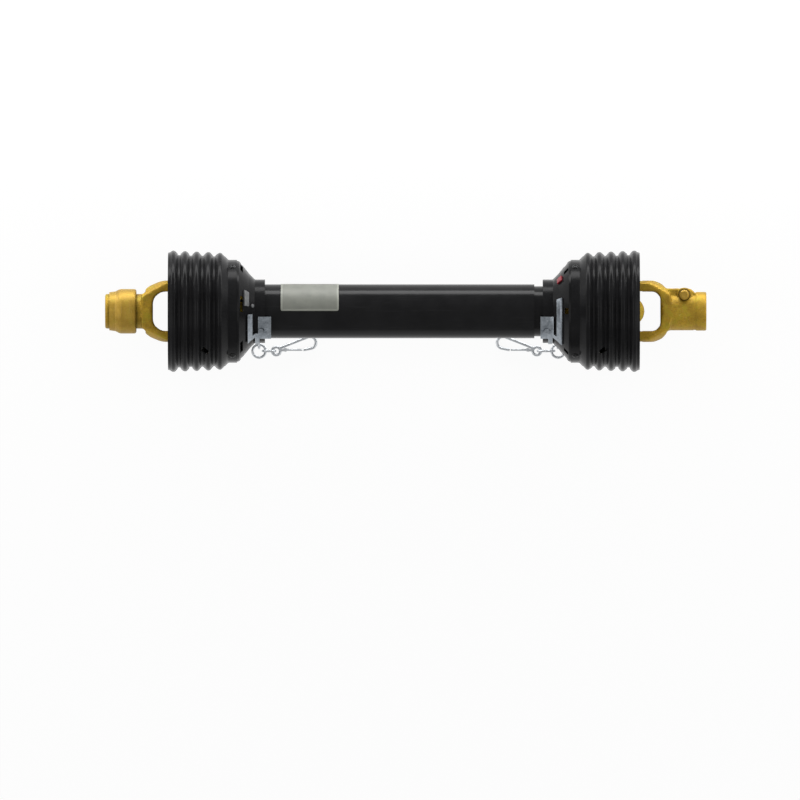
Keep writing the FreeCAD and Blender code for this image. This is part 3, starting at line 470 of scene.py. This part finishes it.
def makeFoil(length, arc):
    # aluminium-look polyester foil: flat grey, brushed along
    material = bpy.data.materials.new("satinFoil")
    material.use_nodes = True
    tree = material.node_tree
    tree.nodes.clear()
    where = addNode(tree, "ShaderNodeUVMap", {"uv_map": "plate"}).outputs["UV"]
    parts = addNode(tree, "ShaderNodeSeparateXYZ", Vector=where)
    inside = []
    for axis, size in (("X", length), ("Y", arc)):
        half = size / 2
        offset = addNode(tree, "ShaderNodeMath",
                         {"operation": "SUBTRACT", 0: parts.outputs[axis], 1: half})
        away = addNode(tree, "ShaderNodeMath", {"operation": "ABSOLUTE", 0: offset.outputs[0]})
        border = addNode(tree, "ShaderNodeMath",
                         {"operation": "GREATER_THAN", 0: away.outputs[0], 1: half - plate["border"]})
        inside.append(border.outputs[0])
    ruled = addNode(tree, "ShaderNodeMath", {"operation": "MAXIMUM", 0: inside[0], 1: inside[1]})
    smear = addNode(tree, "ShaderNodeTexNoise", {"Scale": plate["smudgeScale"], "Detail": 6.0},
                    Vector=where)
    start, stop = plate["smudges"]
    spread = addNode(tree, "ShaderNodeMapRange", {"From Min": start, "From Max": stop},
                     Value=smear.outputs["Fac"])
    colour = addNode(tree, "ShaderNodeMix",
                     {"data_type": "RGBA", 0: spread.outputs["Result"],
                      6: toLinear(plate["foil"]), 7: toLinear(plate["smudge"])})
    edged = addNode(tree, "ShaderNodeMix",
                    {"data_type": "RGBA", 0: ruled.outputs[0], 6: colour.outputs[2],
                     7: toLinear(plate["ruling"])})
    along = addNode(tree, "ShaderNodeMapping", {"Scale": plate["brushStretch"]}, Vector=where)
    brushed = addNode(tree, "ShaderNodeTexNoise", {"Scale": plate["brushScale"], "Detail": 3.0},
                      Vector=along.outputs["Vector"])
    bump = addNode(tree, "ShaderNodeBump", {"Strength": 1.0, "Distance": plate["brushDepth"]},
                   Height=brushed.outputs["Fac"])
    surface = addNode(tree, "ShaderNodeBsdfPrincipled",
                      {"Metallic": plate["metal"], "Roughness": plate["rough"]},
                      Base_Color=edged.outputs[2], Normal=bump.outputs["Normal"])
    addNode(tree, "ShaderNodeOutputMaterial", Surface=surface.outputs["BSDF"])
    return material


dataPlate, plateLength, plateArc = makePlate()
dataPlate.data.materials.append(makeFoil(plateLength, plateArc))
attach(dataPlate, "outer_guard")
print("data plate made")


# node trees, and the pieces that they grow

def startTree(name, kinds):
    tree = bpy.data.node_groups.new(name, "GeometryNodeTree")
    tree.interface.new_socket("Geometry", in_out="INPUT", socket_type="NodeSocketGeometry")
    tree.interface.new_socket("Geometry", in_out="OUTPUT", socket_type="NodeSocketGeometry")
    for label, kind in kinds.items():
        tree.interface.new_socket(label, in_out="INPUT", socket_type="NodeSocket" + kind)
    tree.interface.new_socket("Finish", in_out="INPUT", socket_type="NodeSocketMaterial")
    return tree, addNode(tree, "NodeGroupInput").outputs


def endTree(tree, given, geometry):
    real = addNode(tree, "GeometryNodeRealizeInstances", Geometry=geometry)
    painted = addNode(tree, "GeometryNodeSetMaterial", Geometry=real.outputs[0], Material=given["Finish"])
    addNode(tree, "NodeGroupOutput", Geometry=painted.outputs[0])
    return tree


def growPiece(name, seed, tree, values, body):
    # what the tree makes of the seed, as a plain mesh that rides on its body
    piece = bpy.data.objects.new(name, seed)
    scene.collection.objects.link(piece)
    grow = piece.modifiers.new("grow", "NODES")
    grow.node_group = tree
    for socket in tree.interface.items_tree:
        if socket.in_out == "INPUT" and socket.name in values:
            grow[socket.identifier] = values[socket.name]
    applyModifiers(piece)
    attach(piece, body)
    return piece


def makeRingTree():
    # copies of one part set round the shaft, the part drawn at the top of the shaft's own axis
    tree, given = startTree("ringOfParts",
                            {"Count": "Int", "Turn": "Float", "Middle": "Vector", "Part": "Object"})
    spots = addNode(tree, "GeometryNodeMeshLine", {"Offset": (0, 0, 0)}, Count=given["Count"],
                    Start_Location=given["Middle"])
    index = addNode(tree, "GeometryNodeInputIndex")
    share = addNode(tree, "ShaderNodeMath",
                    {"operation": "DIVIDE", 0: index.outputs[0], 1: given["Count"]})
    angle = addNode(tree, "ShaderNodeMath",
                    {"operation": "MULTIPLY_ADD", 0: share.outputs[0], 1: 2 * math.pi, 2: given["Turn"]})
    turned = addNode(tree, "ShaderNodeCombineXYZ", X=angle.outputs[0])
    part = addNode(tree, "GeometryNodeObjectInfo", Object=given["Part"])
    copies = addNode(tree, "GeometryNodeInstanceOnPoints", Points=spots.outputs[0],
                     Instance=part.outputs["Geometry"], Rotation=turned.outputs[0])
    return endTree(tree, given, copies.outputs[0])


def makeSeamTree():
    # a round bead along the edges of a wire mesh, fine enough for eight sides
    tree, given = startTree("seamBead", {"Radius": "Float", "Step": "Float"})
    path = addNode(tree, "GeometryNodeMeshToCurve", Mesh=given["Geometry"])
    even = addNode(tree, "GeometryNodeResampleCurve", {"mode": "LENGTH"}, Curve=path.outputs[0],
                   Length=given["Step"])
    ring = addNode(tree, "GeometryNodeCurvePrimitiveCircle", {"Resolution": 8}, Radius=given["Radius"])
    bead = addNode(tree, "GeometryNodeCurveToMesh", {"Fill Caps": True}, Curve=even.outputs[0],
                   Profile_Curve=ring.outputs[0])
    return endTree(tree, given, bead.outputs[0])


ringTree = makeRingTree()
seamTree = makeSeamTree()


# cone screws: pan heads with a cross recess, standing on the band of each ribbed cone

screw = {
    "count": 3,
    "turn": 60,              # degrees from the top of the cone
    "proud": 1.45 * mm,      # how far the CAD's plain heads stand out from the band
    # radius and height in mm
    "shank": (2.0, 1.5),
    "flange": (4.6, 0.7),
    "slope": (0.4, 0.6),     # the flange's edge slopes in by this much, from this share of its height
    "head": (3.9, 2.2),
    "recess": (4.4, 1.0, 1.5),   # length, width and depth in mm
    "segments": 40,
    "domeSteps": 6,
}


def makeScrewHead(seat):
    stem, deep = screw["shank"]
    wide, low = screw["flange"]
    slope, start = screw["slope"]
    head, high = screw["head"]
    profile = [(0, -deep), (stem, -deep), (stem, 0), (wide, 0), (wide, low * start), (wide - slope, low)]
    for k in range(screw["domeSteps"]):
        angle = math.radians(90 * k / screw["domeSteps"])
        profile.append((head * math.cos(angle), low + (high - low) * math.sin(angle)))
    profile.append((0, high))
    mesh = latheMesh([(r * mm, h * mm) for r, h in profile], screw["segments"])
    part = makePart("screwHead", mesh, (0, 0, seat))
    length, width, depth = [size * mm for size in screw["recess"]]
    for size in ((length, width), (width, length)):
        blade = bmesh.new()
        bmesh.ops.create_cube(blade, size=1.0)
        bmesh.ops.scale(blade, verts=blade.verts, vec=(size[0], size[1], 2 * depth))
        carve(part, makePart("recess", blade, (0, 0, seat + high * mm)))
    return part


for end, guard in guardOf.items():
    plain = end + "_cone_screws"
    part = makeScrewHead(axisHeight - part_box(plain)[0][2] - screw["proud"])
    screws = growPiece(end + "_screw_heads", bpy.data.meshes.new("spots"), ringTree,
                       {"Count": screw["count"], "Turn": math.radians(screw["turn"]),
                        "Middle": (middleOf(plain)[0], 0, axisHeight), "Part": part,
                        "Finish": materials["blackenedSteel"]}, guard)
    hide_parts(plain)
    bpy.data.objects.remove(part)
print("cone screws made")


# stiffening webs inside each base cone, between its flare and the bearing's seat

web = {
    "count": 12,
    "turn": 15,              # degrees from the top of the cone
    # all in mm, the corners outwards from the ribbed cone's rim, then radius
    "thickness": 2.2,
    "corners": [(-13.6, 47.0), (-3.4, 61.6), (2.0, 64.0), (2.0, 60.5), (-4.0, 52.0), (-12.0, 46.8)],
}


def makeWeb(rim, outwards):
    mesh = bmesh.new()
    sides = [[mesh.verts.new((rim + outwards * u * mm, side * web["thickness"] * mm, r * mm))
              for u, r in web["corners"]] for side in (-0.5, 0.5)]
    mesh.faces.new(sides[0])
    mesh.faces.new(sides[1])
    joinLoops(mesh, sides[0], sides[1])
    return makePart("web", mesh)


for end, outwards in outwardsOf.items():
    part = makeWeb(innerEdge(end + "_ribbed_cone", outwards), outwards)
    growPiece(end + "_cone_webs", bpy.data.meshes.new("spots"), ringTree,
              {"Count": web["count"], "Turn": math.radians(web["turn"]), "Middle": (0, 0, axisHeight),
               "Part": part, "Finish": materials["mouldedPolyethylene"]}, guardOf[end])
    bpy.data.objects.remove(part)
print("cone webs made")


# pressed chain brackets: the strap is cut away between its plate and the wing that lies on the flare

bracket = {
    "foot": 14.5 * mm,           # from the collar's end to the foot of the flare
    "reach": (30 * mm, 90 * mm),     # radius of what is cut away
    "step": 3.0,                 # degrees
    # each cut: from and to, outwards from the foot in mm, then from and to in degrees,
    # from the top towards the chain's side
    "cuts": {
        "tractor": [(-8.0, 2.6, -6, 10), (-5.2, 2.6, 9, 43), (8.8, 22.0, -6, 53), (-1.2, 22.0, 52, 118)],
        "implement": [(-8.0, 4.4, -24, 10), (0.2, 4.4, 9, 43), (-1.2, 22.0, 52, 118)],
    },
}


def makeSector(start, stop, first, last):
    # a slice of a thick ring about the shaft, between two angles from the top
    mesh = bmesh.new()
    steps = math.ceil((last - first) / bracket["step"])
    inside, outside = bracket["reach"]
    corners = ((start, inside), (stop, inside), (stop, outside), (start, outside))
    loops = []
    for k in range(steps + 1):
        angle = math.radians(first + (last - first) * k / steps)
        side, up = -math.sin(angle), math.cos(angle)
        loops.append([mesh.verts.new((x, radius * side, axisHeight + radius * up))
                      for x, radius in corners])
    for one, two in zip(loops, loops[1:]):
        joinLoops(mesh, one, two)
    mesh.faces.new(loops[0])
    mesh.faces.new(loops[-1])
    return makePart("sector", mesh)


for end, outwards in outwardsOf.items():
    foot = innerEdge(end + "_base_cone", outwards) + outwards * bracket["foot"]
    piece = copyNode(end + "_chain_bracket", end + "_pressed_bracket")
    for near, far, first, last in bracket["cuts"][end]:
        start, stop = sorted((foot + outwards * near * mm, foot + outwards * far * mm))
        carve(piece, makeSector(start, stop, first, last))
    dress(piece, "brightZinc", guardOf[end])
    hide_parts(end + "_chain_bracket")
print("brackets made")


# release tabs with their moulded corners

tab = {
    "corner": 0.9 * mm,
    "segments": 3,
    "sharp": 30,             # the least angle in degrees that is rounded
}

for node, body, finish, slot in (("tractor_release_tab", "outer_guard", "greyNylon", "nylon"),
                                 ("implement_release_tab", "inner_guard", "redAcetal", "red_plastic")):
    piece = copyNode(node, node + "_moulded")
    corner = piece.modifiers.new("corner", "BEVEL")
    corner.width = tab["corner"]
    corner.segments = tab["segments"]
    corner.angle_limit = math.radians(tab["sharp"])
    applyModifiers(piece)
    for face in piece.data.polygons:
        face.use_smooth = True
    dress(piece, finish, body)
    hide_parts(node)
print("release tabs made")


# the stud that locates the bearing ring in the tractor end's cone

stud = {
    # all in mm: its place is outwards from the foot of the flare, then to the side
    "out": 3.0,
    "side": 7.3,
    "radius": 2.6,
    "height": 1.7,
    "rim": 0.5,
    "root": 1.0,             # how deep it sits in the flare
    "segments": 32,
}


def makeStud():
    # a low button standing square on the flare, its rim rounded in three steps
    outwards = outwardsOf["tractor"]
    foot = innerEdge("tractor_base_cone", outwards) + outwards * bracket["foot"]
    start = Vector((foot + outwards * stud["out"] * mm, stud["side"] * mm, 2 * axisHeight))
    place, facing = nodes["tractor_base_cone"].ray_cast(start, Vector((0, 0, -1)))[1:3]
    radius, height, rim = stud["radius"], stud["height"], stud["rim"]
    profile = [(0, -stud["root"]), (radius, -stud["root"]), (radius, height - rim)]
    for angle in (30, 60, 90):
        turn = math.radians(angle)
        profile.append((radius - rim + rim * math.cos(turn), height - rim + rim * math.sin(turn)))
    profile.append((0, height))
    mesh = latheMesh([(r * mm, h * mm) for r, h in profile], stud["segments"])
    square = facing.to_track_quat("Z", "X").to_matrix()
    bmesh.ops.rotate(mesh, verts=mesh.verts, matrix=square)
    dress(makePart("tractor_bearing_stud", mesh, place), "greyNylon", "outer_guard")


makeStud()
print("bearing stud made")


# forgings: each yoke's raw skin gets the soft corners that the dies leave,
# and its machined bores and seats stay as they are

forging = {
    "voxel": 0.9 * mm,
    "rounds": 24,                # passes of smoothing, which give outside corners about 3 mm of radius
    "soften": 0.5,               # share of the way that each pass moves a point
    "earRoom": 16.5 * mm,        # clear of the cups' bores
    "boreRoom": 20.0 * mm,       # clear of the splined bore
    "pinRoom": 10.5 * mm,        # clear of the push pin's bore
    "pinBore": 7.5 * mm,         # radius of that bore, which the voxels leave uneven
    "blend": 3.0 * mm,           # from machined to raw
    "dent": 3.6 * mm,            # width of the skin's dents
    "dentDepth": 0.12 * mm,
    # body, the normal of the fork's plane, and how far from the cross it stays raw
    "yokes": {
        "tractor_yoke": ("tractor_fork", "Z", 56 * mm),
        "implement_yoke": ("implement_fork", "Z", 90 * mm),
        "tractor_inner_yoke": ("tractor_shaft", "Y", 53 * mm),
        "implement_inner_yoke": ("implement_shaft", "Y", 53 * mm),
    },
}
seam = {
    "radius": 0.5 * mm,
    "step": 1.6 * mm,
    "room": 0.3,                 # how raw the skin is where the flash starts
}
pinX, pinY = middleOf("push_pin")[:2]


def rawness(place, cross, normal, reach):
    # how far inside the raw skin a place lies: negative on machined faces, 1 well inside
    along = abs(place.x - cross)
    ear = math.hypot(along, place.z - axisHeight if normal == "Z" else place.y)
    bore = math.hypot(place.y, place.z - axisHeight)
    pin = math.hypot(place.x - pinX, place.y - pinY)
    room = min(ear - forging["earRoom"], bore - forging["boreRoom"], pin - forging["pinRoom"],
               reach - along)
    return min(room / forging["blend"], 1.0)


def makeForging(node, body, cross, normal, reach):
    piece = copyNode(node, node + "_forging")
    solid = piece.modifiers.new("solid", "REMESH")
    solid.mode = "VOXEL"
    solid.voxel_size = forging["voxel"]
    solid.use_smooth_shade = True
    applyModifiers(piece)

    raw = piece.vertex_groups.new(name="raw")
    weights = [max(rawness(vert.co, cross, normal, reach), 0.0) for vert in piece.data.vertices]
    for number, weight in enumerate(weights):
        raw.add([number], weight, "REPLACE")
    soft = piece.modifiers.new("soft", "SMOOTH")
    soft.factor = forging["soften"]
    soft.iterations = forging["rounds"]
    soft.vertex_group = "raw"
    applyModifiers(piece)
    normals = [vert.normal.copy() for vert in piece.data.vertices]
    for vert, facing, weight in zip(piece.data.vertices, normals, weights):
        vert.co += facing * noise.noise(vert.co / forging["dent"]) * forging["dentDepth"] * weight
        across = Vector((vert.co.x - pinX, vert.co.y - pinY, 0))
        if across.length < forging["pinBore"]:
            vert.co += across.normalized() * (forging["pinBore"] - across.length)
    piece.vertex_groups.clear()
    dress(piece, "chromatedForging", body)
    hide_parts(node)
    return piece


def sectionPath(source, normal, keep):
    # the wire where a plane through the shaft's axis cuts a closed mesh, wherever keep(edge) is true
    mesh = bmesh.new()
    mesh.from_mesh(source)
    bmesh.ops.remove_doubles(mesh, verts=mesh.verts, dist=together)
    everything = mesh.verts[:] + mesh.edges[:] + mesh.faces[:]
    cut = bmesh.ops.bisect_plane(mesh, geom=everything, plane_co=(0, 0, axisHeight), plane_no=normal)
    kept = [item for item in cut["geom_cut"] if isinstance(item, bmesh.types.BMEdge) and keep(item)]
    corners = list(dict.fromkeys(vert for edge in kept for vert in edge.verts))
    numbers = {vert: number for number, vert in enumerate(corners)}
    wires = [[numbers[vert] for vert in edge.verts] for edge in kept]
    data = bpy.data.meshes.new("section")
    data.from_pydata([vert.co[:] for vert in corners], wires, [])
    mesh.free()
    return data


for node, (body, normal, reach) in forging["yokes"].items():
    cross = middleOf(node.split("_")[0] + "_cross")[0]
    piece = makeForging(node, body, cross, normal, reach)

    def isRaw(edge):
        return min(rawness(vert.co, cross, normal, reach) for vert in edge.verts) > seam["room"]

    path = sectionPath(piece.data, (0, 1, 0) if normal == "Y" else (0, 0, 1), isRaw)
    growPiece(node + "_seam", path, seamTree,
              {"Radius": seam["radius"], "Step": seam["step"], "Finish": materials["chromatedForging"]},
              body)
    print("forging made:", node, len(piece.data.polygons), "faces,", len(path.edges), "seam edges")


# springs: a copy of each coil that a joint presses, riding with the fork that holds it

spring = {"bodies": {"collar_spring": "tractor_fork", "push_pin_spring": "implement_fork"}}


def makeSpring(pressed):
    node, letter = pressed["node"], pressed["mode"][-1]
    piece = copyNode(node, node + "_coil")
    dress(piece, "oiledSteel", spring["bodies"][node])
    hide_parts(node)
    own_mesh(piece)


for joint in frame["joints"]:
    for pressed in joint.get("deforming_nodes", []):
        makeSpring(pressed)


# parting lines of the moulded cones, at the height of the shaft's axis

parting = {
    "radius": 0.35 * mm,
    "step": 1.2 * mm,
    "outwards": 0.3,         # the least that a face looks to its own side
}


def isOuterSkin(edge):
    middle = (edge.verts[0].co + edge.verts[1].co) / 2
    side = math.copysign(1.0, middle.y)
    return all(face.normal.y * side > parting["outwards"] for face in edge.link_faces)


for end, guard in guardOf.items():
    for node in (end + "_ribbed_cone", end + "_base_cone"):
        path = sectionPath(nodes[node].data, (0, 0, 1), isOuterSkin)
        growPiece(node + "_parting", path, seamTree,
                  {"Radius": parting["radius"], "Step": parting["step"],
                   "Finish": materials["mouldedPolyethylene"]}, guard)
        print("parting line:", node, len(path.edges), "edges")


# chain welds: where each link's wire was closed

weld = {"across": 2.2 * mm, "along": 1.5 * mm, "segments": 16, "rings": 10}


def makeWeld(node, away, along):
    # a smooth swelling of the wire, away from the link's middle
    mesh = bmesh.new()
    bmesh.ops.create_uvsphere(mesh, u_segments=weld["segments"], v_segments=weld["rings"], radius=1.0)
    bmesh.ops.scale(mesh, verts=mesh.verts, vec=(weld["across"], weld["across"], weld["along"]))
    bmesh.ops.rotate(mesh, verts=mesh.verts, matrix=along.to_track_quat("Z", "X").to_matrix())
    bmesh.ops.translate(mesh, verts=mesh.verts, vec=Vector(middleOf(node)) + away)
    for face in mesh.faces:
        face.smooth = True
    dress(placeMesh(node + "_weld", mesh), "platedWire", node)


hinges = {joint["name"]: joint for joint in frame["joints"]}
right = Vector((1, 0, 0))
for end in outwardsOf:
    top, low = [Vector(hinges[f"{end}_{name}_swing"]["pos_m"]) for name in ("link_1", "ring")]
    down = (low - top).normalized()
    wire = sizeOf(end + "_chain_ring")[2] / 2
    linkSide = sizeOf(end + "_chain_link_1")[0] / 2 - wire
    ringSide = sizeOf(end + "_chain_ring")[0] / 2 - wire
    makeWeld(end + "_chain_link_1", right * linkSide, down)
    makeWeld(end + "_chain_link_2", down.cross(right) * linkSide, down)
    makeWeld(end + "_chain_ring", Vector((0, -ringSide, 0)), right)
    makeWeld(end + "_short_link", Vector((0, 0, linkSide)), right)
print("chain welds made")


# studio

studio = {
    "floor": "#f4f4f4",
    "floorSize": 80.0,
    "white": 0.93,           # share of plain white that the eye and a reflection get from the floor
    "world": 0.44,
    "lamps": {               # place, size and watts
        "key": ((0.0, 0.60, 0.12), (2.6, 0.20), 12.0),
        "leftFill": ((-1.7, -0.1, 1.5), (1.8, 1.8), 14.0),
        "rightFill": ((1.7, -0.1, 1.5), (1.8, 1.8), 14.0),
    },
}


def makeFloor():
    mesh = bmesh.new()
    bmesh.ops.create_grid(mesh, x_segments=1, y_segments=1, size=studio["floorSize"] / 2)
    floor = placeMesh("floor", mesh)
    material = bpy.data.materials.new("paperSweep")    # white paper: matt, keeps the shadow
    material.use_nodes = True
    tree = material.node_tree
    tree.nodes.clear()
    paper = addNode(tree, "ShaderNodeBsdfDiffuse", {"Color": toLinear(studio["floor"])})
    white = addNode(tree, "ShaderNodeEmission", {"Strength": 1.0})
    path = addNode(tree, "ShaderNodeLightPath")
    seen = path.outputs["Is Camera Ray"]
    for kind in ("Is Glossy Ray", "Is Transmission Ray"):
        either = addNode(tree, "ShaderNodeMath", {"operation": "MAXIMUM", 0: seen, 1: path.outputs[kind]})
        seen = either.outputs[0]
    share = addNode(tree, "ShaderNodeMath", {"operation": "MULTIPLY", 0: seen, 1: studio["white"]})
    mixed = addNode(tree, "ShaderNodeMixShader",
                    {0: share.outputs[0], 1: paper.outputs[0], 2: white.outputs[0]})
    addNode(tree, "ShaderNodeOutputMaterial", Surface=mixed.outputs[0])
    floor.data.materials.append(material)


def makeLamp(name, place, size, power):
    data = bpy.data.lights.new(name, "AREA")
    data.shape = "RECTANGLE"
    data.size, data.size_y = size
    data.energy = power
    lamp = bpy.data.objects.new(name, data)
    lamp.location = place
    lamp.rotation_euler = (Vector((0, 0, axisHeight)) - Vector(place)).to_track_quat("-Z", "Y").to_euler()
    lamp.visible_camera = False
    scene.collection.objects.link(lamp)


makeFloor()
for name, (place, size, power) in studio["lamps"].items():
    makeLamp(name, place, size, power)
world = bpy.data.worlds.new("world")
world.use_nodes = True
sky = world.node_tree.nodes["Background"].inputs
sky["Color"].default_value = (1, 1, 1, 1)
sky["Strength"].default_value = studio["world"]
scene.world = world
scene.view_settings.view_transform = "Standard"
makeCamera()
print("studio made")
